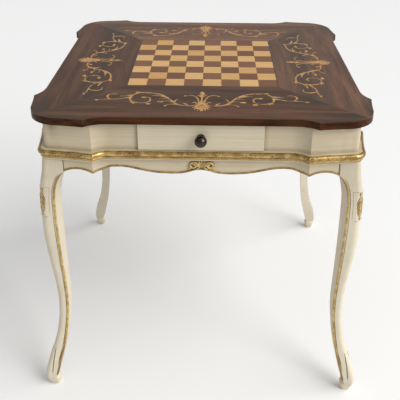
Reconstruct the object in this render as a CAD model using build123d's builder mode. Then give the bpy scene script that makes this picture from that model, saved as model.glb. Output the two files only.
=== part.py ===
import os
from collections import namedtuple
from math import cos, radians, sin, sqrt

from build123d import *

# A chess table on four cabriole legs, with a drawer under its front edge.
# Millimetres, +Z up. The origin is on the floor under the middle of the top, and -Y is the front.

# Overall
table_height = 780.0
top_span = 800.0
running_gap = 0.3
easing = 1.0

# A serpentine plan: a flat middle, a hollow out to a sharp ear, a slack run and a round corner.
# Reaches are measured from the middle of the table, places along the side from its middle.
Plan = namedtuple("Plan", "ear_reach flat_reach ear_place flat_half corner_reach corner_radius")
corner_lean_degrees = 5.0

# Top: a core with a lipping round it, under sawn veneers
top_thickness = 18.0
veneer = 1.2
lipping_width = 14.0
top_flat_recess = 18.0
top_ear_inset = 140.0
top_hollow_run = 50.0
top_corner_recess = 30.0
top_corner_radius = 72.0

# Chessboard
square_size = 46.5
squares_a_side = 8
glue_line = 0.2
stringing_width = 3.0

# Scroll inlay in each border. Its reach to one hand and its middle line are shares of the border.
scroll_reach_share = 1.3
scroll_line_share = 0.39
# Stations along a strip, as shares of the reach: place along the side, towards the edge, width
main_stem_shares = (
    (0.084, 0.116, 0.018),
    (0.062, 0.112, 0.012),
    (0.050, 0.140, 0.010),
    (0.064, 0.180, 0.010),
    (0.104, 0.196, 0.012),
    (0.160, 0.192, 0.016),
    (0.212, 0.172, 0.020),
    (0.248, 0.136, 0.022),
    (0.280, 0.084, 0.022),
    (0.320, 0.012, 0.020),
    (0.372, -0.052, 0.020),
    (0.432, -0.092, 0.018),
    (0.496, -0.110, 0.016),
    (0.560, -0.116, 0.018),
    (0.636, -0.128, 0.028),
)
spiral_shares = (
    (0.600, -0.112, 0.016),
    (0.648, -0.068, 0.016),
    (0.676, -0.004, 0.018),
    (0.672, 0.060, 0.018),
    (0.636, 0.120, 0.016),
    (0.576, 0.140, 0.011),
    (0.524, 0.132, 0.010),
    (0.490, 0.100, 0.012),
    (0.482, 0.052, 0.014),
    (0.496, 0.012, 0.013),
    (0.524, -0.004, 0.010),
)
tendril_shares = (
    (0.656, -0.032, 0.016),
    (0.700, 0.008, 0.014),
    (0.752, 0.036, 0.013),
    (0.808, 0.054, 0.012),
    (0.864, 0.056, 0.011),
    (0.920, 0.060, 0.009),
    (0.964, 0.072, 0.006),
)
tendril_curl_shares = (
    (0.856, 0.056, 0.010),
    (0.884, 0.024, 0.016),
    (0.896, -0.016, 0.020),
    (0.888, -0.052, 0.013),
    (0.864, -0.072, 0.010),
    (0.832, -0.076, 0.009),
    (0.808, -0.068, 0.006),
)
lower_branch_shares = ((0.216, 0.168, 0.012), (0.264, 0.162, 0.009), (0.304, 0.168, 0.008), (0.328, 0.188, 0.008))
upper_sprig_shares = ((0.260, 0.144, 0.014), (0.254, 0.100, 0.018), (0.240, 0.060, 0.012), (0.220, 0.032, 0.006))
bud_stalk_shares = ((0.285, 0.102, 0.008), (0.324, 0.084, 0.007), (0.366, 0.094, 0.006))
bud_sepal_shares = ((0.305, 0.050, 0.008), (0.356, 0.030, 0.007), (0.404, 0.036, 0.004))
side_stem_shares = (
    (0.024, 0.144, 0.016),
    (0.032, 0.064, 0.014),
    (0.048, -0.004, 0.013),
    (0.072, -0.044, 0.012),
    (0.108, -0.062, 0.010),
    (0.150, -0.050, 0.008),
)
acanthus_shares = ((0.316, 0.020, 0.010), (0.360, -0.022, 0.030), (0.416, -0.044, 0.022), (0.484, -0.042, 0.002))
tendril_leaf_shares = ((0.640, -0.064, 0.008), (0.704, -0.036, 0.024), (0.780, -0.022, 0.002))
knot_leaf_shares = ((0.668, 0.004, 0.014), (0.690, 0.018, 0.012), (0.712, 0.036, 0.003))
stem_leaf_shares = ((0.124, 0.196, 0.008), (0.144, 0.160, 0.020), (0.172, 0.132, 0.004))
strips_shares = (
    main_stem_shares,
    spiral_shares,
    tendril_shares,
    tendril_curl_shares,
    lower_branch_shares,
    upper_sprig_shares,
    bud_stalk_shares,
    bud_sepal_shares,
    side_stem_shares,
    acanthus_shares,
    tendril_leaf_shares,
    knot_leaf_shares,
    stem_leaf_shares,
)
# Buds: place along the side, place towards the edge, half length and half width
buds_shares = (
    (0.546, 0.002, 0.028, 0.017),
    (0.494, 0.160, 0.027, 0.017),
    (0.386, 0.104, 0.028, 0.017),
    (0.982, 0.078, 0.020, 0.011),
    (0.632, 0.146, 0.013, 0.012),
    (0.656, 0.126, 0.011, 0.010),
    (0.612, 0.128, 0.010, 0.009),
    (0.334, 0.198, 0.013, 0.012),
    (0.160, -0.042, 0.012, 0.010),
    (0.672, 0.012, 0.016, 0.015),
)
# The palmette between the two scrolls: its heart, its bud and the petals on one hand
palmette_heart_shares = (0.0, 0.152, 0.038, 0.080)
palmette_bud_shares = (
    (0.0, 0.080, 0.018),
    (0.0, 0.000, 0.015),
    (0.0, -0.050, 0.022),
    (0.0, -0.098, 0.052),
    (0.0, -0.132, 0.036),
    (0.0, -0.164, 0.004),
)
palmette_petals_shares = (
    ((0.004, 0.160, 0.030), (0.006, 0.260, 0.026), (0.007, 0.318, 0.006)),
    ((0.016, 0.160, 0.024), (0.030, 0.250, 0.024), (0.036, 0.306, 0.006)),
    ((0.024, 0.160, 0.022), (0.048, 0.236, 0.022), (0.066, 0.282, 0.006)),
    ((0.024, 0.150, 0.020), (0.056, 0.210, 0.020), (0.086, 0.240, 0.006)),
    ((0.004, -0.020, 0.012), (0.026, -0.052, 0.018), (0.048, -0.068, 0.004)),
)

# Frame: four rails tenoned into the posts of the legs
frieze_height = 72.0
top_overhang = 24.0
frame_flat_recess = 16.0
frame_ear_inset = 127.0
frame_hollow_run = 41.0
frame_corner_recess = 18.0
frame_corner_radius = 12.0
post_size = 56.0
rail_thickness = 30.0
apron_depth = 40.0
tenon_length = 16.0
tenon_thickness = 10.0
tenon_cheek = 12.0
tenon_shoulder = 8.0
bead_width = 4.0
bead_projection = 1.5

# Lower edge of each apron: places along half its length, and drops below the waist
apron_place_shares = (0.0, 0.11, 0.22, 0.34, 0.45, 0.53, 0.60, 0.67, 0.72)
apron_drop_shares = (0.68, 0.88, 0.95, 0.89, 0.72, 0.58, 0.54, 0.60, 0.72)
apron_ear_share = 0.82
apron_ear_slope = 0.4
apron_shoulder_place_share = 0.53
apron_shoulder_share = 0.62
apron_end_share = 0.87

# Waist moulding, planted on the frame
moulding_height = 23.0
moulding_projection = 17.0
# Its profile, as shares of its projection and height: the round, then the bead under it
round_head_shares = (0.76, 1.0)
round_belly_shares = (1.0, 0.72)
round_foot_shares = (0.79, 0.48)
quirk_shares = (0.59, 0.48)
under_bead_head_shares = (0.59, 0.41)
under_bead_belly_shares = (0.68, 0.23)
under_bead_foot_shares = (0.53, 0.05)

# Cartouche on each apron
cartouche_width = 58.0
cartouche_height = 23.0
cartouche_thickness = 5.0
volute_diameter = 20.0

# Legs, each sawn from a square blank, with its corner post on top
leg_blank = 82.0
bead_round = 2.4
heel_round = 2.0
# Stations up the leg: height, then outer corner, bead, face, heel and corner radius as shares
leg_stations_shares = (
    (0.948, 0.650, 0.000, 0.590, 0.000, 0.160),
    (0.926, 0.690, 0.150, 0.632, 0.061, 0.170),
    (0.893, 0.735, 0.256, 0.683, 0.134, 0.185),
    (0.856, 0.756, 0.299, 0.707, 0.183, 0.195),
    (0.811, 0.768, 0.311, 0.720, 0.200, 0.200),
    (0.692, 0.770, 0.299, 0.717, 0.209, 0.195),
    (0.582, 0.705, 0.284, 0.655, 0.203, 0.175),
    (0.476, 0.622, 0.267, 0.577, 0.190, 0.160),
    (0.372, 0.588, 0.265, 0.542, 0.190, 0.150),
    (0.289, 0.628, 0.313, 0.583, 0.250, 0.150),
    (0.193, 0.785, 0.420, 0.740, 0.372, 0.150),
    (0.119, 0.985, 0.570, 0.940, 0.520, 0.140),
    (0.070, 1.075, 0.665, 1.035, 0.625, 0.120),
    (0.042, 1.080, 0.740, 1.040, 0.700, 0.100),
    (0.018, 1.020, 0.775, 0.985, 0.745, 0.080),
    (0.000, 0.970, 0.790, 0.945, 0.765, 0.070),
)
leg_head_shares = (1.0, 0.598, 0.000, 0.561, 0.000, 0.146)

# Drawer
drawer_width = 290.0
drawer_bay_height = 67.0
drawer_gap = 1.0
drawer_length = 400.0
drawer_front_thickness = 20.0
drawer_front_projection = 6.0
drawer_wall = 10.0
drawer_wall_drop = 8.0
drawer_bottom_thickness = 5.0
drawer_bottom_rise = 8.0
drawer_groove_depth = 5.0
dovetail_lap = 6.0
dovetail_count = 3
dovetail_flare_share = 0.2
catch_length = 40.0
catch_thickness = 12.0
catch_height = 26.0

# Knob
knob_diameter = 28.0
knob_neck_diameter = 11.0
knob_neck_length = 5.0
knob_rose_diameter = 20.0
knob_rose_thickness = 2.0
knob_screw_diameter = 4.0
knob_screw_head = 8.5
knob_screw_head_height = 2.6
knob_screw_grip = 12.0

# Drawer runners, guides, kickers and stops
runner_width = 34.0
runner_height = 22.0
guide_width = 12.0
guide_height = 14.0
guide_gap = 0.5
kicker_width = 26.0
stop_width = 22.0
stop_length = 14.0
stop_height = 4.0
stop_place = 80.0

# Corner blocks and their screws
block_leg = 70.0
block_height = 36.0
screw_diameter = 4.5
screw_head = 9.0
screw_head_height = 3.4
post_screw_length = 70.0
top_screw_grip = 11.0
top_screw_along = 40.0
top_screw_inset = 14.0


def serpentine(ear_reach, flat_recess, ear_inset, hollow_run, corner_recess, corner_radius):
    """A plan from the reach of its ears and how far the rest stands back."""
    return Plan(
        ear_reach=ear_reach,
        flat_reach=ear_reach - flat_recess,
        ear_place=ear_reach - ear_inset,
        flat_half=ear_reach - ear_inset - hollow_run,
        corner_reach=ear_reach - corner_recess,
        corner_radius=corner_radius,
    )


top_plan = serpentine(
    top_span / 2,
    top_flat_recess,
    top_ear_inset,
    top_hollow_run,
    top_corner_recess,
    top_corner_radius,
)
frame_plan = serpentine(
    top_span / 2 - top_overhang,
    frame_flat_recess,
    frame_ear_inset,
    frame_hollow_run,
    frame_corner_recess,
    frame_corner_radius,
)

# Heights and reaches that follow
post_inner = frame_plan.ear_reach - post_size
rail_inner = frame_plan.flat_reach - rail_thickness
top_under = table_height - top_thickness
veneer_bed = table_height - veneer
waist_top = top_under - frieze_height
waist_under = waist_top - moulding_height
rail_low = waist_under - apron_depth
board_half = square_size * squares_a_side / 2
border_inner = board_half + stringing_width
border_width = top_plan.flat_reach - border_inner
scroll_reach = border_width * scroll_reach_share
scroll_line = border_inner + border_width * scroll_line_share
tenon_line = rail_inner + tenon_cheek + tenon_thickness / 2
drawer_half = drawer_width / 2
bay_top = waist_top + drawer_bay_height
drawer_face = frame_plan.flat_reach + drawer_front_projection
drawer_seat = drawer_face - drawer_front_thickness
wall_outer = drawer_half - drawer_gap
wall_inner = wall_outer - drawer_wall
wall_low = waist_top + running_gap
wall_top = bay_top - drawer_wall_drop
panel_low = wall_low + drawer_bottom_rise
drawer_end = drawer_length - drawer_face
knob_height = (waist_top + bay_top) / 2
post_screw_height = top_under - block_height / 2
sides = ("front", "right", "back", "left")
corners = ("front_right", "back_right", "back_left", "front_left")

os.makedirs("parts", exist_ok=True)


def side_plan(turn, height):
    """A level plane, turned so that the side to draw lies towards its -Y."""
    return Plane.XY.offset(height).rotated((0, 0, 90 * turn))


def side_face(turn):
    """An upright plane through the middle of the table that faces out of a side, with Z as its Y."""
    outward = Vector(0, -1, 0).rotate(Axis.Z, 90 * turn)
    along = Vector(1, 0, 0).rotate(Axis.Z, 90 * turn)
    return Plane(origin=(0, 0, 0), x_dir=along, z_dir=outward)


def draw_side(plan, turn=0):
    """Draw one side of a plan from corner to corner."""
    lean = radians(corner_lean_degrees)
    centre = plan.corner_reach - plan.corner_radius / sqrt(2)
    for hand in (-1, 1):
        middle = Vector(0, -plan.flat_reach)
        flat = Vector(hand * plan.flat_half, -plan.flat_reach)
        ear = Vector(hand * plan.ear_place, -plan.ear_reach)
        root = Vector(
            hand * (centre + plan.corner_radius * sin(lean)),
            -centre - plan.corner_radius * cos(lean),
        )
        corner = Vector(hand * plan.corner_reach, -plan.corner_reach)
        along = Vector(hand, 0)
        slope = Vector(hand * cos(lean), sin(lean))
        middle, flat, ear, root, corner, along, slope = (
            v.rotate(Axis.Z, 90 * turn) for v in (middle, flat, ear, root, corner, along, slope)
        )
        Line(middle, flat)
        TangentArc(flat, ear, tangent=along)
        TangentArc(root, ear, tangent=-slope)
        TangentArc(root, corner, tangent=slope)


def corner_screw(turn):
    """The screw through a corner block into its post, along the diagonal."""
    diagonal = Vector(1, -1, 0).normalized().rotate(Axis.Z, 90 * turn)
    start = diagonal * ((2 * rail_inner - block_leg) / sqrt(2))
    axis = Plane(origin=start + Vector(0, 0, post_screw_height), z_dir=diagonal)
    with BuildPart(mode=Mode.PRIVATE) as screw:
        with BuildSketch(axis):
            Circle(screw_diameter / 2)
        extrude(amount=post_screw_length)
        with BuildSketch(axis):
            Circle(screw_head / 2)
        with BuildSketch(axis.offset(screw_head_height)):
            Circle(screw_diameter / 2)
        loft(ruled=True)
    return screw.part


def top_screw(turn):
    """The screw up through a corner block into the core of the top."""
    place = Vector(rail_inner - top_screw_along, top_screw_inset - rail_inner).rotate(Axis.Z, 90 * turn)
    low = top_under - block_height
    with BuildPart(mode=Mode.PRIVATE) as screw:
        with BuildSketch(Plane.XY.offset(low).move(Location(place))):
            Circle(screw_diameter / 2)
        extrude(amount=block_height + top_screw_grip)
        with BuildSketch(Plane.XY.offset(low).move(Location(place))):
            Circle(screw_head / 2)
        with BuildSketch(Plane.XY.offset(low + screw_head_height).move(Location(place))):
            Circle(screw_diameter / 2)
        loft(ruled=True)
    return screw.part


def plan_sketch(plan):
    """The whole outline of a plan, filled."""
    with BuildSketch(mode=Mode.PRIVATE) as filled:
        with BuildLine():
            for turn in range(len(sides)):
                draw_side(plan, turn)
        make_face()
    return filled.sketch


def side_wedge():
    """The quarter of the plan between the two front diagonals."""
    with BuildSketch(mode=Mode.PRIVATE) as wedge:
        Polygon((0, 0), (-top_span, -top_span), (top_span, -top_span), align=None)
    return wedge.sketch


top_outline = plan_sketch(top_plan)
frame_outline = plan_sketch(frame_plan)
front_wedge = side_wedge()

# Top core, inside the lipping
with BuildPart() as top_core:
    with BuildSketch(Plane.XY.offset(top_under)):
        add(top_outline)
        offset(amount=-lipping_width, kind=Kind.INTERSECTION, mode=Mode.REPLACE)
    extrude(amount=veneer_bed - top_under)
    for turn in range(len(corners)):
        add(top_screw(turn), mode=Mode.SUBTRACT)
top_core.part.label = "top_core"
export_step(top_core.part, "parts/top_core.step")

# Solid lipping on each edge of the core, mitred at the corners
for turn, side in enumerate(sides):
    with BuildPart() as top_lipping:
        with BuildSketch(side_plan(turn, top_under)):
            add(top_outline)
            with BuildSketch(mode=Mode.PRIVATE) as core_outline:
                add(top_outline)
                offset(amount=-lipping_width, kind=Kind.INTERSECTION, mode=Mode.REPLACE)
            add(core_outline.sketch, mode=Mode.SUBTRACT)
            add(front_wedge, mode=Mode.INTERSECT)
        extrude(amount=veneer_bed - top_under)
    top_lipping.part.label = f"top_lipping_{side}"
    export_step(top_lipping.part, f"parts/top_lipping_{side}.step")


def strip(stations, hand=1):
    """A curved strip of changing width, from its stations as shares of the scroll's reach."""
    line = [Vector(hand * x, -y) * scroll_reach for x, y, width in stations]
    runs = [line[1] - line[0], *(b - a for a, b in zip(line, line[2:])), line[-1] - line[-2]]
    sideways = [Vector(-run.Y, run.X).normalized() * scroll_reach / 2 for run in runs]
    with BuildSketch(mode=Mode.PRIVATE) as shape:
        with BuildLine():
            edges = []
            for flank in (-1, 1):
                points = [
                    place + away * flank * width
                    for place, away, (x, y, width) in zip(line, sideways, stations)
                ]
                edges.append(Spline(*points))
            Line(edges[0] @ 0, edges[1] @ 0)
            Line(edges[0] @ 1, edges[1] @ 1)
        make_face()
    return shape.sketch


def scroll_sketch():
    """Two scrolls that spring from a palmette, seen with the board above them."""
    with BuildSketch(mode=Mode.PRIVATE) as scroll:
        for hand in (-1, 1):
            for stations in strips_shares + palmette_petals_shares:
                add(strip(stations, hand))
            for x, y, long, wide in buds_shares:
                with Locations((hand * x * scroll_reach, -y * scroll_reach)):
                    Ellipse(long * scroll_reach, wide * scroll_reach)
        add(strip(palmette_bud_shares))
        x, y, wide, tall = palmette_heart_shares
        with Locations((x, -y * scroll_reach)):
            Ellipse(wide * scroll_reach, tall * scroll_reach)
    return scroll.sketch.moved(Location((0, -scroll_line)))


scroll_outline = scroll_sketch()

# Scroll inlays, cut from veneer and let into the borders
for turn, side in enumerate(sides):
    with BuildPart() as scroll_inlay:
        with BuildSketch(side_plan(turn, veneer_bed)):
            add(scroll_outline)
        extrude(amount=veneer)
    scroll_inlay.part.label = f"scroll_inlay_{side}"
    export_step(scroll_inlay.part, f"parts/scroll_inlay_{side}.step")

# Border veneers, mitred from the corners of the board
for turn, side in enumerate(sides):
    with BuildPart() as border_veneer:
        with BuildSketch(side_plan(turn, veneer_bed)):
            add(top_outline)
            Rectangle(2 * border_inner, 2 * border_inner, mode=Mode.SUBTRACT)
            add(front_wedge, mode=Mode.INTERSECT)
            add(scroll_outline, mode=Mode.SUBTRACT)
        extrude(amount=veneer)
    border_veneer.part.label = f"border_veneer_{side}"
    export_step(border_veneer.part, f"parts/border_veneer_{side}.step")

# Stringing round the board
with BuildPart() as board_stringing:
    with BuildSketch(Plane.XY.offset(veneer_bed)):
        Rectangle(2 * border_inner, 2 * border_inner)
        Rectangle(2 * board_half, 2 * board_half, mode=Mode.SUBTRACT)
    extrude(amount=veneer)
board_stringing.part.label = "board_stringing"
export_step(board_stringing.part, "parts/board_stringing.step")

# Board squares: the one at the front left is light
for parity, shade in enumerate(("light", "dark")):
    with BuildPart() as board_squares:
        with BuildSketch(Plane.XY.offset(veneer_bed)):
            for column in range(squares_a_side):
                for row in range(squares_a_side):
                    if (column + row) % 2 == parity:
                        across = (column - (squares_a_side - 1) / 2) * square_size
                        back = (row - (squares_a_side - 1) / 2) * square_size
                        with Locations((across, back)):
                            Rectangle(square_size - glue_line, square_size - glue_line)
        extrude(amount=veneer)
    board_squares.part.label = f"board_squares_{shade}"
    export_step(board_squares.part, f"parts/board_squares_{shade}.step")


def apron_edge():
    """Draw the shaped lower edge of an apron, from post to post."""
    for hand in (-1, 1):
        lobes = [
            (hand * place * post_inner, waist_under - drop * apron_depth)
            for place, drop in zip(apron_place_shares, apron_drop_shares)
        ]
        ear = (hand * frame_plan.ear_place, waist_under - apron_ear_share * apron_depth)
        shoulder_x = frame_plan.ear_place
        shoulder_x += apron_shoulder_place_share * (post_inner - frame_plan.ear_place)
        shoulder = (hand * shoulder_x, waist_under - apron_shoulder_share * apron_depth)
        end = (hand * post_inner, waist_under - apron_end_share * apron_depth)
        Spline(*lobes, ear, tangents=[(hand, 0), (hand, -apron_ear_slope)])
        Spline(ear, shoulder, end)


def rail_outline(grow=0.0):
    """The plan of a rail between its posts, with its face moved out by grow."""
    with BuildSketch(mode=Mode.PRIVATE) as outline:
        add(frame_outline)
        if grow:
            offset(amount=grow, kind=Kind.INTERSECTION, mode=Mode.REPLACE)
        with Locations((0, -rail_inner - (top_span - rail_inner) / 2)):
            Rectangle(2 * post_inner, top_span - rail_inner, mode=Mode.INTERSECT)
    return outline.sketch


def tenon_pair(turn, span):
    """Tenons at both ends of a rail, or the mortises that they enter."""
    low, high = span
    with BuildPart(mode=Mode.PRIVATE) as tenons:
        with BuildSketch(side_plan(turn, low)):
            for hand in (-1, 1):
                with Locations((hand * (post_inner + tenon_length / 2), -tenon_line)):
                    Rectangle(tenon_length, tenon_thickness)
        extrude(amount=high - low)
    return tenons.part


def apron_profile(turn, top):
    """All that lies behind a side between the shaped lower edge and a height."""
    with BuildPart(mode=Mode.PRIVATE) as profile:
        with BuildSketch(side_face(turn)):
            with BuildLine():
                apron_edge()
                end_height = waist_under - apron_end_share * apron_depth
                Line((-post_inner, end_height), (-post_inner, top))
                Line((-post_inner, top), (post_inner, top))
                Line((post_inner, top), (post_inner, end_height))
            make_face()
        extrude(amount=top_span)
    return profile.part


def bead_band(turn):
    """The bead worked along the lower edge of an apron, proud of its face."""
    with BuildPart(mode=Mode.PRIVATE) as band:
        with BuildSketch(side_plan(turn, rail_low)):
            add(rail_outline(bead_projection))
            add(rail_outline(), mode=Mode.SUBTRACT)
        extrude(amount=apron_depth)
        add(apron_profile(turn, waist_under), mode=Mode.INTERSECT)
        raised = apron_profile(turn, waist_under).moved(Location((0, 0, bead_width)))
        add(raised, mode=Mode.SUBTRACT)
    return band.part


lower_tenon = (rail_low + tenon_shoulder, waist_top - tenon_shoulder)
upper_tenon = (waist_top + tenon_shoulder, top_under - tenon_shoulder)

# Side and back rails, each one board from the top down to the apron edge
for turn, name in ((1, "side_rail_right"), (2, "back_rail"), (3, "side_rail_left")):
    with BuildPart() as rail:
        with BuildSketch(side_plan(turn, rail_low)):
            add(rail_outline())
        extrude(amount=top_under - rail_low)
        add(apron_profile(turn, top_under), mode=Mode.INTERSECT)
        add(tenon_pair(turn, lower_tenon))
        add(tenon_pair(turn, upper_tenon))
        add(bead_band(turn))
    rail.part.label = name
    export_step(rail.part, f"parts/{name}.step")

# Front apron rail, under the drawer
with BuildPart() as front_apron_rail:
    with BuildSketch(side_plan(0, rail_low)):
        add(rail_outline())
    extrude(amount=waist_top - rail_low)
    add(apron_profile(0, waist_top), mode=Mode.INTERSECT)
    add(tenon_pair(0, lower_tenon))
    add(bead_band(0))
front_apron_rail.part.label = "front_apron_rail"
export_step(front_apron_rail.part, "parts/front_apron_rail.step")

# Front frieze, one piece on each side of the drawer
for hand, side in ((-1, "left"), (1, "right")):
    with BuildPart() as front_frieze:
        with BuildSketch(Plane.XY.offset(waist_top)):
            add(rail_outline())
            with Locations((hand * (drawer_half + top_span / 2), -top_span / 2)):
                Rectangle(top_span, top_span, mode=Mode.INTERSECT)
        extrude(amount=frieze_height)
        with BuildSketch(Plane.XY.offset(upper_tenon[0])):
            with Locations((hand * (post_inner + tenon_length / 2), -tenon_line)):
                Rectangle(tenon_length, tenon_thickness)
        extrude(amount=upper_tenon[1] - upper_tenon[0])
    front_frieze.part.label = f"front_frieze_{side}"
    export_step(front_frieze.part, f"parts/front_frieze_{side}.step")

# Top rail over the drawer
with BuildPart() as front_top_rail:
    with BuildSketch(Plane.XY.offset(bay_top)):
        with Locations((0, -(frame_plan.flat_reach + rail_inner) / 2)):
            Rectangle(drawer_width, frame_plan.flat_reach - rail_inner)
    extrude(amount=top_under - bay_top)
front_top_rail.part.label = "front_top_rail"
export_step(front_top_rail.part, "parts/front_top_rail.step")


def profile_spot(shares):
    """A point of the moulding's profile: out from its seat, and up from its foot."""
    return (shares[0] * moulding_projection, shares[1] * moulding_height)


# Waist mouldings, one on each side, mitred at the corners
for turn, side in enumerate(sides):
    with BuildPart() as waist_moulding:
        with BuildLine() as seat_line:
            draw_side(frame_plan, turn)
        seat = seat_line.wire().moved(Location((0, 0, waist_under)))
        start = seat @ 0
        run = seat % 0
        outward = run.cross(Vector(0, 0, 1))
        if outward.dot(Vector(start.X, start.Y)) < 0:
            outward = -outward
        with BuildSketch(Plane(origin=start, x_dir=outward, z_dir=outward.cross(Vector(0, 0, 1)))):
            with BuildLine():
                bead_foot = profile_spot(under_bead_foot_shares)
                bead_head = profile_spot(under_bead_head_shares)
                round_foot = profile_spot(round_foot_shares)
                round_head = profile_spot(round_head_shares)
                Polyline(bead_foot, (bead_foot[0], 0), (0, 0), (0, moulding_height), round_head)
                ThreePointArc(round_head, profile_spot(round_belly_shares), round_foot)
                Polyline(round_foot, profile_spot(quirk_shares), bead_head)
                ThreePointArc(bead_head, profile_spot(under_bead_belly_shares), bead_foot)
            make_face()
        sweep(path=seat, transition=Transition.RIGHT)
    waist_moulding.part.label = f"waist_moulding_{side}"
    export_step(waist_moulding.part, f"parts/waist_moulding_{side}.step")

# Cartouche in the middle of each apron: a shell between two volutes
cartouche_middle = waist_under - cartouche_height / 2
for turn, side in enumerate(sides):
    face = side_face(turn).offset(frame_plan.flat_reach)
    with BuildPart() as cartouche:
        with BuildSketch(face):
            volute_x = (cartouche_width - volute_diameter) / 2
            with Locations((0, cartouche_middle)):
                Ellipse(cartouche_width / 4, cartouche_height / 2)
            volute_y = cartouche_middle - (cartouche_height - volute_diameter) / 4
            with Locations((-volute_x, volute_y), (volute_x, volute_y)):
                Circle(volute_diameter / 2)
            with Locations((0, volute_y)):
                Rectangle(2 * volute_x, volute_diameter / 2)
        extrude(amount=cartouche_thickness)
        chamfer(cartouche.faces().sort_by(Axis((0, 0, 0), tuple(face.z_dir)))[-1].edges(), easing)
        with BuildSketch(face.offset(cartouche_thickness)):
            with Locations((-volute_x, volute_y), (volute_x, volute_y)):
                Circle(volute_diameter / 4)
        extrude(amount=-cartouche_thickness / 3, mode=Mode.SUBTRACT)
    cartouche.part.label = f"cartouche_{side}"
    export_step(cartouche.part, f"parts/cartouche_{side}.step")


def leg_section(shares):
    """The level section of a leg: its faces swell to a round corner and end in beads."""
    height, outer, bead, face, heel, radius = shares
    outer, bead, face, heel = (post_inner + share * leg_blank for share in (outer, bead, face, heel))
    with BuildSketch(Plane.XY.offset(height * waist_under), mode=Mode.PRIVATE) as section:
        with BuildLine():
            FilletPolyline(
                (heel, -heel),
                (bead, -face),
                (outer, -outer),
                (face, -bead),
                radius=[heel_round, bead_round, radius * leg_blank, bead_round],
                close=True,
            )
        make_face()
    return section.sketch


# Legs: the shaped leg, its plain shoulder and the post that the rails are tenoned into
with BuildPart() as leg:
    with BuildSketch(Plane.XY.offset(waist_under)):
        add(frame_outline)
        with Locations((post_inner + top_span / 2, -post_inner - top_span / 2)):
            Rectangle(top_span, top_span, mode=Mode.INTERSECT)
    extrude(amount=top_under - waist_under)
    loft(sections=[leg_section(leg_head_shares), leg_section(leg_stations_shares[0])], ruled=True)
    loft(sections=[leg_section(shares) for shares in leg_stations_shares])
    for turn in (0, 1):
        add(tenon_pair(turn, lower_tenon), mode=Mode.SUBTRACT)
        add(tenon_pair(turn, upper_tenon), mode=Mode.SUBTRACT)
    add(corner_screw(0), mode=Mode.SUBTRACT)
for turn, corner in enumerate(corners):
    with BuildPart() as turned_leg:
        add(leg.part, rotation=(0, 0, 90 * turn))
    turned_leg.part.label = f"leg_{corner}"
    export_step(turned_leg.part, f"parts/leg_{corner}.step")


def dovetails():
    """The tails on the front end of a drawer wall, seen from the side: the root is at Y = 0."""
    pitch = (wall_top - wall_low) / dovetail_count
    lap = drawer_front_thickness - dovetail_lap
    with BuildSketch(mode=Mode.PRIVATE) as tails:
        for tail in range(dovetail_count):
            middle = wall_low + (tail + 1 / 2) * pitch
            narrow = pitch / 4
            wide = narrow + dovetail_flare_share * lap
            Polygon(
                (-drawer_seat - lap, middle - wide),
                (-drawer_seat - lap, middle + wide),
                (-drawer_seat, middle + narrow),
                (-drawer_seat, middle - narrow),
                align=None,
            )
    return tails.sketch


def wall_tails(hand):
    """The tails of one drawer wall as solids."""
    with BuildPart(mode=Mode.PRIVATE) as tails:
        with BuildSketch(Plane.YZ.offset(hand * wall_inner)):
            add(dovetails())
        extrude(amount=hand * drawer_wall)
    return tails.part


# Drawer front, with lapped dovetail sockets and a groove for the bottom
with BuildPart() as drawer_front:
    front_low = waist_top + drawer_gap
    front_top = bay_top - drawer_gap
    with Locations((0, -(drawer_face + drawer_seat) / 2, (front_low + front_top) / 2)):
        Box(2 * wall_outer, drawer_front_thickness, front_top - front_low)
    chamfer(drawer_front.faces().sort_by(Axis.Y)[0].edges(), easing)
    for hand in (-1, 1):
        add(wall_tails(hand), mode=Mode.SUBTRACT)
    with Locations((0, -drawer_seat - drawer_groove_depth / 2, panel_low + drawer_bottom_thickness / 2)):
        Box(
            2 * (wall_inner + drawer_groove_depth),
            drawer_groove_depth,
            drawer_bottom_thickness,
            mode=Mode.SUBTRACT,
        )
    with Locations((0, -(drawer_face + drawer_seat) / 2, knob_height)):
        Cylinder(
            knob_screw_diameter / 2,
            drawer_front_thickness,
            rotation=(90, 0, 0),
            mode=Mode.SUBTRACT,
        )
drawer_front.part.label = "drawer_front"
export_step(drawer_front.part, "parts/drawer_front.step")

# Drawer walls, grooved for the bottom
for hand, side in ((-1, "left"), (1, "right")):
    with BuildPart() as drawer_side:
        middle_x = hand * (wall_inner + wall_outer) / 2
        with Locations((middle_x, (drawer_end - drawer_seat) / 2, (wall_low + wall_top) / 2)):
            Box(drawer_wall, drawer_end + drawer_seat, wall_top - wall_low)
        groove_x = hand * (wall_inner + drawer_groove_depth / 2)
        groove_z = panel_low + drawer_bottom_thickness / 2
        with Locations((groove_x, (drawer_end - drawer_seat) / 2, groove_z)):
            Box(
                drawer_groove_depth,
                drawer_end + drawer_seat,
                drawer_bottom_thickness,
                mode=Mode.SUBTRACT,
            )
        add(wall_tails(hand))
        with Locations((groove_x, -drawer_seat - drawer_groove_depth / 2, groove_z)):
            Box(
                drawer_groove_depth,
                drawer_groove_depth,
                drawer_bottom_thickness,
                mode=Mode.SUBTRACT,
            )
    drawer_side.part.label = f"drawer_side_{side}"
    export_step(drawer_side.part, f"parts/drawer_side_{side}.step")

# Drawer bottom, let into the grooves and run out under the back
with BuildPart() as drawer_bottom:
    panel_front = -drawer_seat - drawer_groove_depth
    panel_middle = panel_low + drawer_bottom_thickness / 2
    with Locations((0, (panel_front + drawer_end) / 2, panel_middle)):
        Box(2 * (wall_inner + drawer_groove_depth), drawer_end - panel_front, drawer_bottom_thickness)
drawer_bottom.part.label = "drawer_bottom"
export_step(drawer_bottom.part, "parts/drawer_bottom.step")

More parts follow.
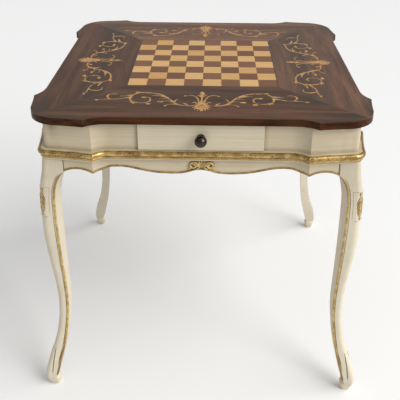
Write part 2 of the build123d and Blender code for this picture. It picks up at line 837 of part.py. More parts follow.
# Drawer back, between the walls and on the bottom
with BuildPart() as drawer_back:
    back_low = panel_low + drawer_bottom_thickness
    with Locations((0, drawer_end - drawer_wall / 2, (back_low + wall_top) / 2)):
        Box(2 * wall_inner, drawer_wall, wall_top - back_low)
drawer_back.part.label = "drawer_back"
export_step(drawer_back.part, "parts/drawer_back.step")

# Catch on the drawer back, which meets the top rail when the drawer is out
catch_top = top_under - running_gap - easing
with BuildPart() as drawer_catch:
    with Locations((0, drawer_end + catch_thickness / 2, catch_top - catch_height / 2)):
        Box(catch_length, catch_thickness, catch_height)
    fillet(drawer_catch.edges().filter_by(Axis.Y), catch_thickness / 4)
drawer_catch.part.label = "drawer_catch"
export_step(drawer_catch.part, "parts/drawer_catch.step")

# Knob: a ball on a short neck and a thin rose
with BuildPart() as drawer_knob:
    rose_y = -drawer_face - knob_rose_thickness / 2
    with Locations((0, rose_y, knob_height)):
        Cylinder(knob_rose_diameter / 2, knob_rose_thickness, rotation=(90, 0, 0))
    ball_y = -drawer_face - knob_neck_length - knob_diameter / 2
    with Locations((0, ball_y, knob_height)):
        Sphere(knob_diameter / 2)
    neck_length = knob_neck_length + knob_diameter / 2
    with Locations((0, -drawer_face - neck_length / 2, knob_height)):
        Cylinder(knob_neck_diameter / 2, neck_length, rotation=(90, 0, 0))
    with Locations((0, -drawer_face - knob_screw_grip / 2, knob_height)):
        Cylinder(knob_screw_diameter / 2, knob_screw_grip, rotation=(90, 0, 0), mode=Mode.SUBTRACT)
drawer_knob.part.label = "drawer_knob"
export_step(drawer_knob.part, "parts/drawer_knob.step")

# Screw through the drawer front into the knob
with BuildPart() as knob_screw:
    screw_length = drawer_front_thickness + knob_screw_grip
    with Locations((0, -drawer_seat - screw_length / 2, knob_height)):
        Cylinder(knob_screw_diameter / 2, screw_length, rotation=(90, 0, 0))
    with Locations((0, -drawer_seat + knob_screw_head_height / 2, knob_height)):
        Cylinder(knob_screw_head / 2, knob_screw_head_height, rotation=(90, 0, 0))
knob_screw.part.label = "knob_screw"
export_step(knob_screw.part, "parts/knob_screw.step")

# Runners under the drawer walls, guides beside them and kickers over them
for hand, side in ((-1, "left"), (1, "right")):
    wall_middle = hand * (wall_inner + wall_outer) / 2
    with BuildPart() as drawer_runner:
        with Locations((wall_middle, 0, waist_top - runner_height / 2)):
            Box(runner_width, 2 * rail_inner, runner_height)
    drawer_runner.part.label = f"drawer_runner_{side}"
    export_step(drawer_runner.part, f"parts/drawer_runner_{side}.step")

    with BuildPart() as drawer_guide:
        guide_x = hand * (wall_outer + guide_gap + guide_width / 2)
        with Locations((guide_x, 0, waist_top + guide_height / 2)):
            Box(guide_width, 2 * rail_inner, guide_height)
    drawer_guide.part.label = f"drawer_guide_{side}"
    export_step(drawer_guide.part, f"parts/drawer_guide_{side}.step")

    with BuildPart() as drawer_kicker:
        with Locations((wall_middle, 0, (bay_top + top_under) / 2)):
            Box(kicker_width, 2 * rail_inner, top_under - bay_top)
    drawer_kicker.part.label = f"drawer_kicker_{side}"
    export_step(drawer_kicker.part, f"parts/drawer_kicker_{side}.step")

# Stops on the apron rail that the drawer front shuts against
with BuildPart() as drawer_stops:
    stop_y = -drawer_seat + running_gap + stop_length / 2
    with Locations(
        (-stop_place, stop_y, waist_top + stop_height / 2),
        (stop_place, stop_y, waist_top + stop_height / 2),
    ):
        Box(stop_width, stop_length, stop_height)
drawer_stops.part.label = "drawer_stops"
export_step(drawer_stops.part, "parts/drawer_stops.step")

# Corner blocks, notched round the posts under the top
for turn, corner in enumerate(corners):
    with BuildPart() as corner_block:
        with BuildSketch(side_plan(turn, top_under - block_height)):
            Polygon(
                (rail_inner - block_leg, -rail_inner),
                (post_inner, -rail_inner),
                (post_inner, -post_inner),
                (rail_inner, -post_inner),
                (rail_inner, -rail_inner + block_leg),
                align=None,
            )
        extrude(amount=block_height)
        add(corner_screw(turn), mode=Mode.SUBTRACT)
        add(top_screw(turn), mode=Mode.SUBTRACT)
    corner_block.part.label = f"corner_block_{corner}"
    export_step(corner_block.part, f"parts/corner_block_{corner}.step")

# Screws from the corner blocks into the posts, and up into the top
with BuildPart() as post_screws:
    for turn in range(len(corners)):
        add(corner_screw(turn))
post_screws.part.label = "post_screws"
export_step(post_screws.part, "parts/post_screws.step")

with BuildPart() as top_screws:
    for turn in range(len(corners)):
        add(top_screw(turn))
top_screws.part.label = "top_screws"
export_step(top_screws.part, "parts/top_screws.step")
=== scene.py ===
import math

import bpy
from mathutils import Matrix, Vector


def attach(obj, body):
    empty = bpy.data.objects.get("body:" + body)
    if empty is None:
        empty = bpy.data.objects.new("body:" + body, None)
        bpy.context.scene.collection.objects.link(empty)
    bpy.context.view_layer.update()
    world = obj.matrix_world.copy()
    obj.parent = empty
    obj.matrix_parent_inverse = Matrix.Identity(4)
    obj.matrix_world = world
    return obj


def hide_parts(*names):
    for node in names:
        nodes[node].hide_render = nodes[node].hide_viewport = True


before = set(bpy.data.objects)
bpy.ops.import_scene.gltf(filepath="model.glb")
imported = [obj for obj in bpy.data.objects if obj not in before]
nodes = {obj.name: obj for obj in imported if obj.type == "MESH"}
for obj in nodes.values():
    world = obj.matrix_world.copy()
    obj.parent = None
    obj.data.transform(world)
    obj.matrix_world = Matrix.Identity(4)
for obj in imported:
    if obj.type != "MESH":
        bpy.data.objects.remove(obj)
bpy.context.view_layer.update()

scene = bpy.context.scene

# A chess table: painted and gilded frame on cabriole legs, inlaid walnut top, one drawer.
# Metres. The front of the table faces -Y, and the floor is at Z = 0.

SIDES = ("front", "right", "back", "left")
CORNERS = ("front_right", "back_right", "back_left", "front_left")
# The quarter turns that carry a piece from the front, or the front right corner, to the others
QUARTER_TURNS = (1, 2, 3)
# Measures of the CAD model: the waist's underside, the inner corner of the posts, the place of the ears
# along a side, the width of a leg's blank, and a square of the board
WAIST_UNDER = 0.667
POST_INNER = 0.320
EAR_PLACE = 0.249
LEG_BLANK = 0.082
SQUARE = 0.0465


# Finishes

class Finish:
    """A finish mixed from nodes, with the surface's own place as its ground."""

    def __init__(self, name, roughness, metallic=0.0, gloss=0.5):
        self.material = bpy.data.materials.new(name)
        self.material.use_nodes = True
        self.tree = self.material.node_tree
        self.shader = self.tree.nodes["Principled BSDF"]
        self.shader.inputs["Roughness"].default_value = roughness
        self.shader.inputs["Metallic"].default_value = metallic
        self.shader.inputs["Specular IOR Level"].default_value = gloss
        self.place = self.node("TexCoord").outputs["Object"]
        self.axes = self.node("SeparateXYZ")
        self.join(self.place, self.axes.inputs[0])

    def node(self, kind):
        """A new shader node of a kind."""
        return self.tree.nodes.new("ShaderNode" + kind)

    def join(self, source, target):
        """Links a socket, or sets a plain value."""
        if isinstance(source, (int, float, tuple)):
            if isinstance(source, tuple) and len(source) == 3 and len(target.default_value) == 4:
                source = (*source, 1.0)
            target.default_value = source
        else:
            self.tree.links.new(source, target)

    def stretched(self, scale, shift=(0.0, 0.0, 0.0)):
        """The surface's own place, scaled and shifted."""
        mapping = self.node("Mapping")
        self.join(self.place, mapping.inputs["Vector"])
        mapping.inputs["Scale"].default_value = scale
        mapping.inputs["Location"].default_value = shift
        return mapping.outputs["Vector"]

    def noise(self, scale, shift=(0.0, 0.0, 0.0), detail=3.0, rough=0.55, distortion=0.0):
        """Cloudy noise, finer along the axes with the larger scales."""
        texture = self.node("TexNoise")
        self.join(self.stretched(scale, shift), texture.inputs["Vector"])
        texture.inputs["Scale"].default_value = 1.0
        texture.inputs["Detail"].default_value = detail
        texture.inputs["Roughness"].default_value = rough
        texture.inputs["Distortion"].default_value = distortion
        return texture.outputs["Fac"]

    def math(self, operation, first, second=0.5, third=0.5):
        """A sum worked out at every spot."""
        math_node = self.node("Math")
        math_node.operation = operation
        self.join(first, math_node.inputs[0])
        self.join(second, math_node.inputs[1])
        self.join(third, math_node.inputs[2])
        return math_node.outputs[0]

    def step(self, value, low, high, out_low=0.0, out_high=1.0):
        """A soft step from one number to another, as a value goes from low to high."""
        band = self.node("MapRange")
        band.interpolation_type = "SMOOTHSTEP"
        self.join(value, band.inputs["Value"])
        sockets = ("From Min", "From Max", "To Min", "To Max")
        for socket, number in zip(sockets, (low, high, out_low, out_high)):
            band.inputs[socket].default_value = number
        return band.outputs["Result"]

    def within(self, value, low, high, soft):
        """One between two values and nothing beyond them, with soft ends."""
        rising = self.step(value, low - soft, low + soft)
        falling = self.step(value, high - soft, high + soft, 1.0, 0.0)
        return self.math("MULTIPLY", rising, falling)

    def mix(self, share, first, second):
        """The first colour, replaced by the second as far as the share says."""
        mixer = self.node("Mix")
        mixer.data_type = "RGBA"
        # Of this node's sockets, these are the ones for colours
        self.join(share, mixer.inputs[0])
        self.join(first, mixer.inputs[6])
        self.join(second, mixer.inputs[7])
        return mixer.outputs[2]

    def tinted(self, tone, pattern, low, high, share, tint):
        """A tone that a tint partly covers where a pattern is strong."""
        cover = self.math("MULTIPLY", self.step(pattern, low, high), share)
        return self.mix(cover, tone, tint)

    def colour(self, source):
        """Gives the finish its colour."""
        self.join(source, self.shader.inputs["Base Color"])

    def bumps(self, height, strength, depth):
        """Raises the surface slightly where a pattern is strong."""
        bump = self.node("Bump")
        bump.inputs["Strength"].default_value = strength
        bump.inputs["Distance"].default_value = depth
        self.join(height, bump.inputs["Height"])
        self.join(bump.outputs["Normal"], self.shader.inputs["Normal"])


def stretch_along(grain, along, across):
    """Noise scales for a grain that runs along an axis."""
    return tuple(along if axis == grain else across for axis in "XYZ")


# Paint: creams, glazes and how far the glaze covers them
# The frieze's cream is darker than the drawer's and the legs' is paler, partly as painted shade and
# painted light
FRIEZE_CREAM = (0.635, 0.545, 0.385)
DRAWER_CREAM = (0.70, 0.615, 0.450)
LEG_CREAM = (0.745, 0.672, 0.525)
FRIEZE_GLAZE = (0.30, 0.225, 0.125)
BROWN_GLAZE = (0.33, 0.26, 0.15)
FRIEZE_WORN = 0.24
DRAWER_WORN = 0.20
LEG_WORN = 0.14

# The dark line where a rail meets a post: from and to along the rail, then its upper end
JOINT_COLOUR = (0.10, 0.068, 0.040)
JOINT_DARKNESS = 0.85
JOINT_ALONG = (0.3168, 0.3188)
JOINT_HEAD = (0.666, 0.669)
# Where a leg's upright brush strokes give way to the frieze's level ones
STROKES_TURN = (0.672, 0.676)

# Bands of painted shade, where shade falls in creases and under overhangs: axis, from, to, softness and
# strength
SHADE_AT_FOOT_OF_FRIEZE = ("Z", 0.6890, 0.6945, 0.0080, 0.58)
SHADE_UNDER_TOP = ("Z", 0.7520, 0.7640, 0.0160, 0.42)
SHADE_UNDER_WAIST = ("Z", 0.6620, 0.6700, 0.0050, 0.20)
SHADE_AT_LEG_HEAD = ("Z", 0.6000, 0.6800, 0.0900, 0.45)
SHADOW_BESIDE_DRAWER = ("X", 0.1440, 0.1500, 0.0070, 0.45)
SHADE_AT_FOOT_OF_DRAWER = ("Z", 0.6890, 0.6925, 0.0020, 0.30)
FRIEZE_SHADE_BANDS = (SHADE_AT_FOOT_OF_FRIEZE, SHADE_UNDER_TOP, SHADE_UNDER_WAIST)
LEG_SHADE_BANDS = (SHADE_AT_FOOT_OF_FRIEZE, SHADE_UNDER_TOP, SHADE_AT_LEG_HEAD)


def painted(name, bands, cream, worn_by, glaze=BROWN_GLAZE, turned=False, joint=""):
    """Cream paint under a brown glaze that was brushed out along the wood, darkened by bands of painted
    shade.

    Turned is for a leg, which is brushed upright below the frieze.
    Joint is the axis of a rail that shows its joints with the posts.
    """
    finish = Finish(name, 0.45, gloss=0.35)
    height = finish.axes.outputs["Z"]
    strokes = finish.noise((5.0, 5.0, 420.0), rough=0.6)
    if turned:
        upright = finish.noise((300.0, 300.0, 5.0), (0.2, 0.5, 0.0), rough=0.6)
        below = finish.step(height, *STROKES_TURN, 1.0, 0.0)
        strokes = finish.math("MULTIPLY_ADD", below, finish.math("SUBTRACT", upright, strokes), strokes)
        worn_by = finish.math("MULTIPLY_ADD", below, worn_by - FRIEZE_WORN, FRIEZE_WORN)
        cream = finish.mix(below, FRIEZE_CREAM, cream)
        glaze = finish.mix(below, FRIEZE_GLAZE, glaze)
    broad = finish.noise((0.8, 0.8, 50.0), (0.3, 0.7, 0.1))
    worn = finish.noise((9.0, 9.0, 9.0), (1.3, 0.2, 0.6), detail=5.0)
    clouds = finish.step(broad, 0.35, 0.72)
    amount = finish.math("MULTIPLY_ADD", clouds, 0.5, finish.step(strokes, 0.33, 0.88))
    amount = finish.math("MULTIPLY_ADD", finish.step(worn, 0.42, 0.75), 0.6, amount)
    amount = finish.math("MULTIPLY", amount, worn_by)
    # Each band deepens the glaze as painted shade
    for axis, low, high, soft, strength in bands:
        span = finish.math("ABSOLUTE", finish.axes.outputs[axis])
        amount = finish.math("MULTIPLY_ADD", finish.within(span, low, high, soft), strength, amount)
    tone = finish.mix(finish.math("MINIMUM", amount, 1.0), cream, glaze)
    if joint:
        span = finish.math("ABSOLUTE", finish.axes.outputs[joint])
        below = finish.step(height, *JOINT_HEAD, 1.0, 0.0)
        line = finish.math("MULTIPLY", finish.step(span, *JOINT_ALONG), below)
        tone = finish.mix(finish.math("MULTIPLY", line, JOINT_DARKNESS), tone, JOINT_COLOUR)
    finish.colour(tone)
    finish.bumps(strokes, 0.08, 0.0005)
    return finish.material


SPECK_BROWN = (0.075, 0.045, 0.020)
# The gold of the leg beads browns towards the floor and towards the apron, between these heights
BROWNED_GOLD = (0.20, 0.115, 0.038)
BROWN_FOOT = (0.05, 0.20)
BROWN_HEAD = (0.54, 0.63)


def gilding(finish, gold, rubbed, speckled=1.0):
    """The colour of rubbed gold leaf with dark specks in it, and the specks by themselves."""
    leaf = finish.noise((55.0, 55.0, 55.0), detail=5.0, rough=0.6)
    specks = finish.noise((310.0, 310.0, 310.0), (0.2, 0.9, 0.4), rough=0.65)
    patches = finish.noise((38.0, 38.0, 38.0), (0.8, 0.1, 0.5), detail=2.0)
    tone = finish.mix(finish.step(leaf, 0.35, 0.68), rubbed, gold)
    dark = finish.math("MULTIPLY", finish.step(specks, 0.51, 0.59), finish.step(patches, 0.36, 0.56))
    dark = finish.math("MULTIPLY", dark, speckled)
    return finish.mix(dark, tone, SPECK_BROWN), dark


def gilded(name, gold, rubbed, speckled, metallic, roughness=0.42, browned=0.0):
    """Gold leaf on carved wood, browner by the given share at the ends of a leg."""
    finish = Finish(name, roughness, metallic)
    leaf, dark = gilding(finish, gold, rubbed, speckled)
    if browned:
        height = finish.axes.outputs["Z"]
        foot = finish.step(height, *BROWN_FOOT, 1.0, 0.0)
        ends = finish.math("MAXIMUM", foot, finish.step(height, *BROWN_HEAD))
        leaf = finish.mix(finish.math("MULTIPLY", ends, browned), leaf, BROWNED_GOLD)
    finish.colour(leaf)
    finish.bumps(dark, 0.35, 0.0006)
    return finish.material


# The waist moulding's lip in the middle of a side, and how it swells towards the ears and corners:
# from one place along the side, to another, by so much
LIP_OF_WAIST = 0.3751
WAIST_PLAN = (
    (0.215, 0.230, 0.0057),
    (0.230, 0.2475, 0.0112),
    (0.2475, 0.300, -0.0090),
    (0.300, 0.350, -0.0060),
    (0.353, 0.368, -0.0075),
)
# Heights on the waist moulding: its ledge, the quirk, the bead under it, its foot, and the paint below
LEDGE = (0.6896, 0.6901)
QUIRK = (0.6772, 0.6787)
UNDER_BEAD = (0.6772, 0.6778)
WAIST_FOOT = (0.6712, 0.6730)
PAINT_BELOW = (0.6708, 0.6722)
# Distances in from the lip: the end of the gold on the ledge, and the line of painted shade along it
GOLD_ENDS = (0.0056, 0.0066)
CREST = (0.0046, 0.0062)
WAIST_METAL = 0.80
BEAD_HIGHLIGHT_GOLD = (0.66, 0.47, 0.20)
FOOT_BROWN = (0.24, 0.15, 0.065)
QUIRK_SHADE = (0.15, 0.085, 0.030)


def lip_distance(finish):
    """How far in from the waist moulding's lip a spot lies, whichever side it is on."""
    across, deep = (finish.math("ABSOLUTE", finish.axes.outputs[axis]) for axis in "XY")
    along = finish.math("MINIMUM", across, deep)
    lip = LIP_OF_WAIST
    for start, end, change in WAIST_PLAN:
        lip = finish.math("MULTIPLY_ADD", finish.step(along, start, end), change, lip)
    return finish.math("SUBTRACT", lip, finish.math("MAXIMUM", across, deep))


def waist_finish():
    """Waist moulding: a cream ledge, a gilded round edged with painted shade, painted shade in the
    quirk, and a gilded bead with a painted highlight.
    """
    finish = Finish("gilded_waist_moulding", 0.32)
    wobble = finish.noise((18.0, 18.0, 18.0))
    height = finish.math("MULTIPLY_ADD", wobble, 0.0010, finish.axes.outputs["Z"])
    leaf, dark = gilding(finish, (0.68, 0.465, 0.175), (0.33, 0.200, 0.057))
    strokes = finish.noise((6.0, 6.0, 500.0))
    paint = finish.mix(finish.step(strokes, 0.35, 0.7), (0.70, 0.615, 0.45), (0.50, 0.40, 0.24))
    to_lip = lip_distance(finish)
    top = finish.step(height, *LEDGE)
    ledge = finish.math("MULTIPLY", top, finish.step(to_lip, *GOLD_ENDS))
    ungilt = finish.math("MAXIMUM", ledge, finish.step(height, *PAINT_BELOW, 1.0, 0.0))
    crest = finish.math("MULTIPLY", top, finish.within(to_lip, *CREST, 0.0006))
    quirk = finish.within(height, *QUIRK, 0.0004)
    under = finish.step(height, *UNDER_BEAD, 1.0, 0.0)
    foot = finish.within(height, *WAIST_FOOT, 0.0006)
    # Painted shade in the quirk and along the crest of the round
    shade_lines = finish.math("ADD", quirk, crest)
    # The paler gold on the bead under the quirk is a painted highlight
    tone = finish.mix(finish.math("MULTIPLY", under, 0.35), leaf, BEAD_HIGHLIGHT_GOLD)
    tone = finish.mix(finish.math("MULTIPLY", foot, 0.8), tone, FOOT_BROWN)
    tone = finish.mix(finish.math("MULTIPLY", shade_lines, 0.7), tone, QUIRK_SHADE)
    finish.colour(finish.mix(ungilt, tone, paint))
    metal_here = finish.math("MULTIPLY_ADD", under, -0.1, WAIST_METAL)
    gilt = finish.math("MULTIPLY", finish.math("SUBTRACT", 1.0, ungilt), metal_here)
    finish.join(gilt, finish.shader.inputs["Metallic"])
    finish.bumps(dark, 0.4, 0.0006)
    return finish.material


LIGHT_WALNUT = (0.145, 0.064, 0.028)
DEEP_WALNUT = (0.048, 0.019, 0.008)
PORE_BROWN = (0.036, 0.017, 0.010)
GREEN_BLACK = (0.036, 0.027, 0.016)


def border_walnut(name, grain, pale, gloss):
    """Walnut veneer with its grain along a side, streaked dark green-black in places."""
    across = "Y" if grain == "X" else "X"
    finish = Finish(name, 0.42, gloss=gloss)
    figure = finish.noise(
        stretch_along(grain, 2.2, 34.0), (0.4, 0.9, 0.0), detail=6.0, rough=0.62, distortion=0.5,
    )
    lines = finish.noise(stretch_along(grain, 9.0, 420.0))
    pores = finish.noise(stretch_along(grain, 70.0, 330.0), (0.7, 0.3, 0.0), rough=0.7)
    bands = finish.noise(stretch_along(grain, 1.5, 11.0), (2.1, 1.4, 0.0), distortion=0.8)
    outward = finish.math("ABSOLUTE", finish.axes.outputs[across])
    along = finish.math("ABSOLUTE", finish.axes.outputs[grain])
    light, deep = (tuple(pale * part for part in tone) for tone in (LIGHT_WALNUT, DEEP_WALNUT))
    tone = finish.mix(finish.step(figure, 0.30, 0.72), deep, light)
    tone = finish.tinted(tone, lines, 0.42, 0.7, 0.45, PORE_BROWN)
    tone = finish.tinted(tone, pores, 0.50, 0.66, 0.42, PORE_BROWN)
    middle = finish.within(finish.math("MULTIPLY_ADD", bands, 0.10, outward), 0.285, 0.345, 0.030)
    corner = finish.math("MULTIPLY", finish.step(along, 0.20, 0.36), finish.step(bands, 0.46, 0.62))
    dark = finish.math("MINIMUM", finish.math("MULTIPLY_ADD", middle, 0.46, corner), 0.75)
    finish.colour(finish.mix(dark, tone, GREEN_BLACK))
    finish.bumps(lines, 0.05, 0.0003)
    return finish.material


def by_square(finish):
    """A number of its own for each square of the board."""
    grid = finish.node("VectorMath")
    grid.operation = "FLOOR"
    finish.join(finish.stretched((1 / SQUARE, 1 / SQUARE, 0.0)), grid.inputs[0])
    chance = finish.node("TexWhiteNoise")
    finish.join(grid.outputs[0], chance.inputs["Vector"])
    return chance.outputs["Value"]


def board_veneer(name, pale, deep, line):
    """Squares cut from one wood, no two of quite the same tone."""
    finish = Finish(name, 0.42, gloss=0.26)
    grain = finish.noise((14.0, 210.0, 14.0), detail=5.0, rough=0.6, distortion=0.3)
    fine = finish.noise((30.0, 900.0, 30.0), (0.5, 0.2, 0.0), detail=2.0)
    tone = finish.mix(by_square(finish), pale, deep)
    tone = finish.tinted(tone, grain, 0.35, 0.70, 0.35, line)
    tone = finish.tinted(tone, fine, 0.50, 0.72, 0.25, line)
    finish.colour(tone)
    finish.bumps(fine, 0.04, 0.0003)
    return finish.material


def scroll_maple():
    """Maple scrolls, browned in hot sand here and there."""
    finish = Finish("maple_scrolls", 0.42, gloss=0.32)
    shade = finish.noise((95.0, 95.0, 40.0), distortion=0.6)
    grain = finish.noise((60.0, 260.0, 60.0), (0.1, 0.5, 0.0))
    tone = finish.mix(finish.step(grain, 0.35, 0.70), (0.58, 0.320, 0.120), (0.43, 0.220, 0.074))
    finish.colour(finish.tinted(tone, shade, 0.48, 0.64, 0.72, (0.15, 0.062, 0.020)))
    return finish.material


def plain_wood(name, grain, pale, deep, roughness=0.55, across=180.0):
    """Plain wood, board, or painted shade: two tones in streaks along an axis."""
    finish = Finish(name, roughness)
    figure = finish.noise(stretch_along(grain, 5.0, across), detail=5.0, rough=0.6, distortion=0.3)
    patches = finish.noise((7.0, 7.0, 7.0), (0.4, 0.1, 0.8))
    tone = finish.mix(finish.step(figure, 0.30, 0.72), pale, deep)
    finish.colour(finish.tinted(tone, patches, 0.45, 0.70, 0.40, deep))
    finish.bumps(figure, 0.10, 0.0004)
    return finish.material


def edge_walnut(name, grain):
    """Solid walnut edge: red-brown, with near-black patches."""
    finish = Finish(name, 0.42, gloss=0.10)
    figure = finish.noise(stretch_along(grain, 6.0, 130.0), detail=5.0, distortion=0.4)
    patches = finish.noise(stretch_along(grain, 7.0, 14.0), (0.7, 0.2, 0.3), detail=2.0)
    tone = finish.mix(finish.step(figure, 0.32, 0.70), (0.026, 0.008, 0.002), (0.078, 0.026, 0.006))
    finish.colour(finish.tinted(tone, patches, 0.50, 0.66, 0.75, (0.013, 0.007, 0.003)))
    return finish.material


def metal(name, tone, worn, roughness):
    """Solid metal, of another tone where it is worn."""
    finish = Finish(name, roughness, 1.0)
    haze = finish.noise((60.0, 60.0, 60.0))
    finish.colour(finish.mix(finish.step(haze, 0.35, 0.70), tone, worn))
    finish.bumps(haze, 0.03, 0.0003)
    return finish.material


def frieze_paint(name, bands, joint=""):
    """The paint of the rails and the frieze, browner than that of the legs, partly as painted shade."""
    return painted(name, bands, FRIEZE_CREAM, FRIEZE_WORN, FRIEZE_GLAZE, joint=joint)


frieze_x = frieze_paint("cream_paint_frieze_along_x", FRIEZE_SHADE_BANDS, joint="X")
frieze_y = frieze_paint("cream_paint_frieze_along_y", FRIEZE_SHADE_BANDS, joint="Y")
frieze_front = frieze_paint("cream_paint_beside_drawer", (*FRIEZE_SHADE_BANDS, SHADOW_BESIDE_DRAWER))
drawer_paint = painted("cream_paint_drawer_front", (SHADE_AT_FOOT_OF_DRAWER,), DRAWER_CREAM, DRAWER_WORN)
leg_paint = painted("cream_paint_legs", LEG_SHADE_BANDS, LEG_CREAM, LEG_WORN, turned=True)
# Dark rods of painted shade in the toes' flutes
painted_flute_shade = plain_wood("dark_painted_flute_shade", "Z", (0.125, 0.066, 0.026), (0.085, 0.045, 0.018), 0.7)
# Painted shade beside the leg beads, behind the knee carving and behind the cartouches
painted_gold_shade = plain_wood("painted_shade_on_gold", "Z", (0.185, 0.110, 0.040), (0.120, 0.070, 0.026), 0.5)
panel_shade_line = plain_wood("pink_brown_panel_shade", "Z", (0.300, 0.205, 0.140), (0.220, 0.145, 0.095), 0.6)
gold = gilded("gold_leaf_carving", (0.78, 0.56, 0.24), (0.52, 0.345, 0.125), speckled=0.5, metallic=0.4)
bead_gold = gilded(
    "gold_leaf_leg_beads", (0.74, 0.52, 0.20), (0.43, 0.275, 0.086),
    speckled=0.45, metallic=0.5, roughness=0.36, browned=0.75,
)
apron_gold = gilded(
    "gold_leaf_apron_beads", (0.47, 0.31, 0.105), (0.25, 0.155, 0.048), speckled=0.9, metallic=0.4,
)
waist_gold = waist_finish()
# The border veneer on each side: the axis of its grain, how pale it is with painted sheen, and its gloss
WALNUT_AND_PAINTED_SHEEN_BY_SIDE = {
    "front": ("X", 1.12, 0.26),
    "right": ("Y", 1.40, 0.42),
    "back": ("X", 1.90, 0.45),
    "left": ("Y", 1.00, 0.26),
}
walnut = {side: border_walnut(f"walnut_veneer_{side}", *look) for side, look in WALNUT_AND_PAINTED_SHEEN_BY_SIDE.items()}
light_squares = board_veneer(
    "maple_squares", (0.72, 0.450, 0.185), (0.59, 0.330, 0.110), (0.44, 0.22, 0.075),
)
dark_squares = board_veneer(
    "walnut_squares", (0.242, 0.106, 0.046), (0.172, 0.072, 0.031), (0.085, 0.036, 0.016),
)
scrolls = scroll_maple()
stringing_walnut = plain_wood("dark_stringing", "X", (0.040, 0.024, 0.018), (0.024, 0.016, 0.012), 0.35)
edge_x = edge_walnut("walnut_edge_along_x", "X")
edge_y = edge_walnut("walnut_edge_along_y", "Y")
beech_x = plain_wood("beech_along_x", "X", (0.60, 0.43, 0.27), (0.50, 0.34, 0.19))
beech_y = plain_wood("beech_along_y", "Y", (0.60, 0.43, 0.27), (0.50, 0.34, 0.19))
fibreboard = plain_wood("fibreboard", "X", (0.42, 0.30, 0.19), (0.35, 0.24, 0.15), 0.75, 30.0)
ply = plain_wood("birch_ply", "Y", (0.66, 0.52, 0.34), (0.56, 0.42, 0.25))
bronze = metal("dark_bronze", (0.050, 0.040, 0.036), (0.100, 0.066, 0.048), 0.16)
zinc = metal("zinc_plate", (0.56, 0.57, 0.58), (0.44, 0.45, 0.46), 0.34)

FINISH_OF = {
    "top_core": fibreboard,
    "board_stringing": stringing_walnut,
    "board_squares_light": light_squares,
    "board_squares_dark": dark_squares,
    "back_rail": frieze_x,
    "front_apron_rail": frieze_x,
    "front_frieze_left": frieze_front,
    "front_frieze_right": frieze_front,
    "front_top_rail": frieze_x,
    "side_rail_left": frieze_y,
    "side_rail_right": frieze_y,
    "drawer_front": drawer_paint,
    "drawer_bottom": ply,
    "drawer_back": beech_x,
    "drawer_catch": beech_x,
    "drawer_stops": beech_x,
    "drawer_knob": bronze,
    "knob_screw": zinc,
    "post_screws": zinc,
    "top_screws": zinc,
}
for side in SIDES:
    lengthwise = side in ("front", "back")
    FINISH_OF[f"top_lipping_{side}"] = edge_x if lengthwise else edge_y
    FINISH_OF[f"border_veneer_{side}"] = walnut[side]
    FINISH_OF[f"scroll_inlay_{side}"] = scrolls
    FINISH_OF[f"waist_moulding_{side}"] = waist_gold
    FINISH_OF[f"cartouche_{side}"] = gold
for corner in CORNERS:
    FINISH_OF[f"leg_{corner}"] = leg_paint
# The rest is beech: drawer sides, runners, guides, kickers and corner blocks
for name, node in nodes.items():
    chosen = FINISH_OF.get(name, beech_y)
    for slot in node.material_slots:
        slot.material = chosen


# Bench work

# How finely a round bead is divided: round its section, and along each stretch of its line
BEAD_ROUNDNESS = 3
BEAD_SMOOTHNESS = 6
# Points of a mesh that lie nearer than this are one
SAME_POINT = 0.00002
# An edge that turns by more degrees than this stays sharp
SHARP_FROM = 35.0
LEG_SHARP_FROM = 38.0
CARVING_SHARP_FROM = 50.0


def clear_selection():
    """Leaves nothing selected."""
    bpy.ops.object.select_all(action="DESELECT")


def pick(piece):
    """Selects one piece by itself."""
    clear_selection()
    piece.select_set(True)
    bpy.context.view_layer.objects.active = piece


def fix_place(piece):
    """Moves a piece's place, turn and scale into its mesh."""
    pick(piece)
    bpy.ops.object.transform_apply(location=True, rotation=True, scale=True)


def turn_outwards(piece):
    """Closes doubled points and faces every face outwards."""
    pick(piece)
    bpy.ops.object.mode_set(mode="EDIT")
    bpy.ops.mesh.select_all(action="SELECT")
    bpy.ops.mesh.remove_doubles(threshold=SAME_POINT)
    bpy.ops.mesh.normals_make_consistent(inside=False)
    bpy.ops.object.mode_set(mode="OBJECT")


def settle(piece, name, finish, sharp_from=SHARP_FROM):
    """Fixes a piece's place in its mesh and gives it its name, finish and body."""
    fix_place(piece)
    bpy.ops.object.shade_smooth_by_angle(angle=math.radians(sharp_from))
    piece.name = name
    piece.data.name = name
    piece.data.materials.clear()
    piece.data.materials.append(finish)
    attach(piece, "table")
    return piece


def copied(piece, turn, name):
    """A copy with its own mesh, carried round the table by quarter turns."""
    twin = piece.copy()
    twin.data = piece.data.copy()
    scene.collection.objects.link(twin)
    twin.parent = None
    twin.matrix_world = Matrix.Identity(4)
    twin.data.transform(Matrix.Rotation(turn * math.pi / 2, 4, "Z"))
    twin.name = name
    twin.data.name = name
    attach(twin, "table")
    return twin


def carried_round(piece, name, places):
    """Copies of a piece at the other three corners or sides."""
    return [copied(piece, turn, f"{name}_{places[turn]}") for turn in QUARTER_TURNS]


def joined(parts):
    """One piece out of several, in the first one's frame."""
    clear_selection()
    for part in parts:
        part.select_set(True)
    bpy.context.view_layer.objects.active = parts[0]
    bpy.ops.object.join()
    return bpy.context.object


def ball(segments, rings):
    """A ball of radius 1, to be pressed into shape."""
    bpy.ops.mesh.primitive_uv_sphere_add(
        segments=segments, ring_count=rings, radius=1.0, location=(0, 0, 0),
    )
    return bpy.context.object


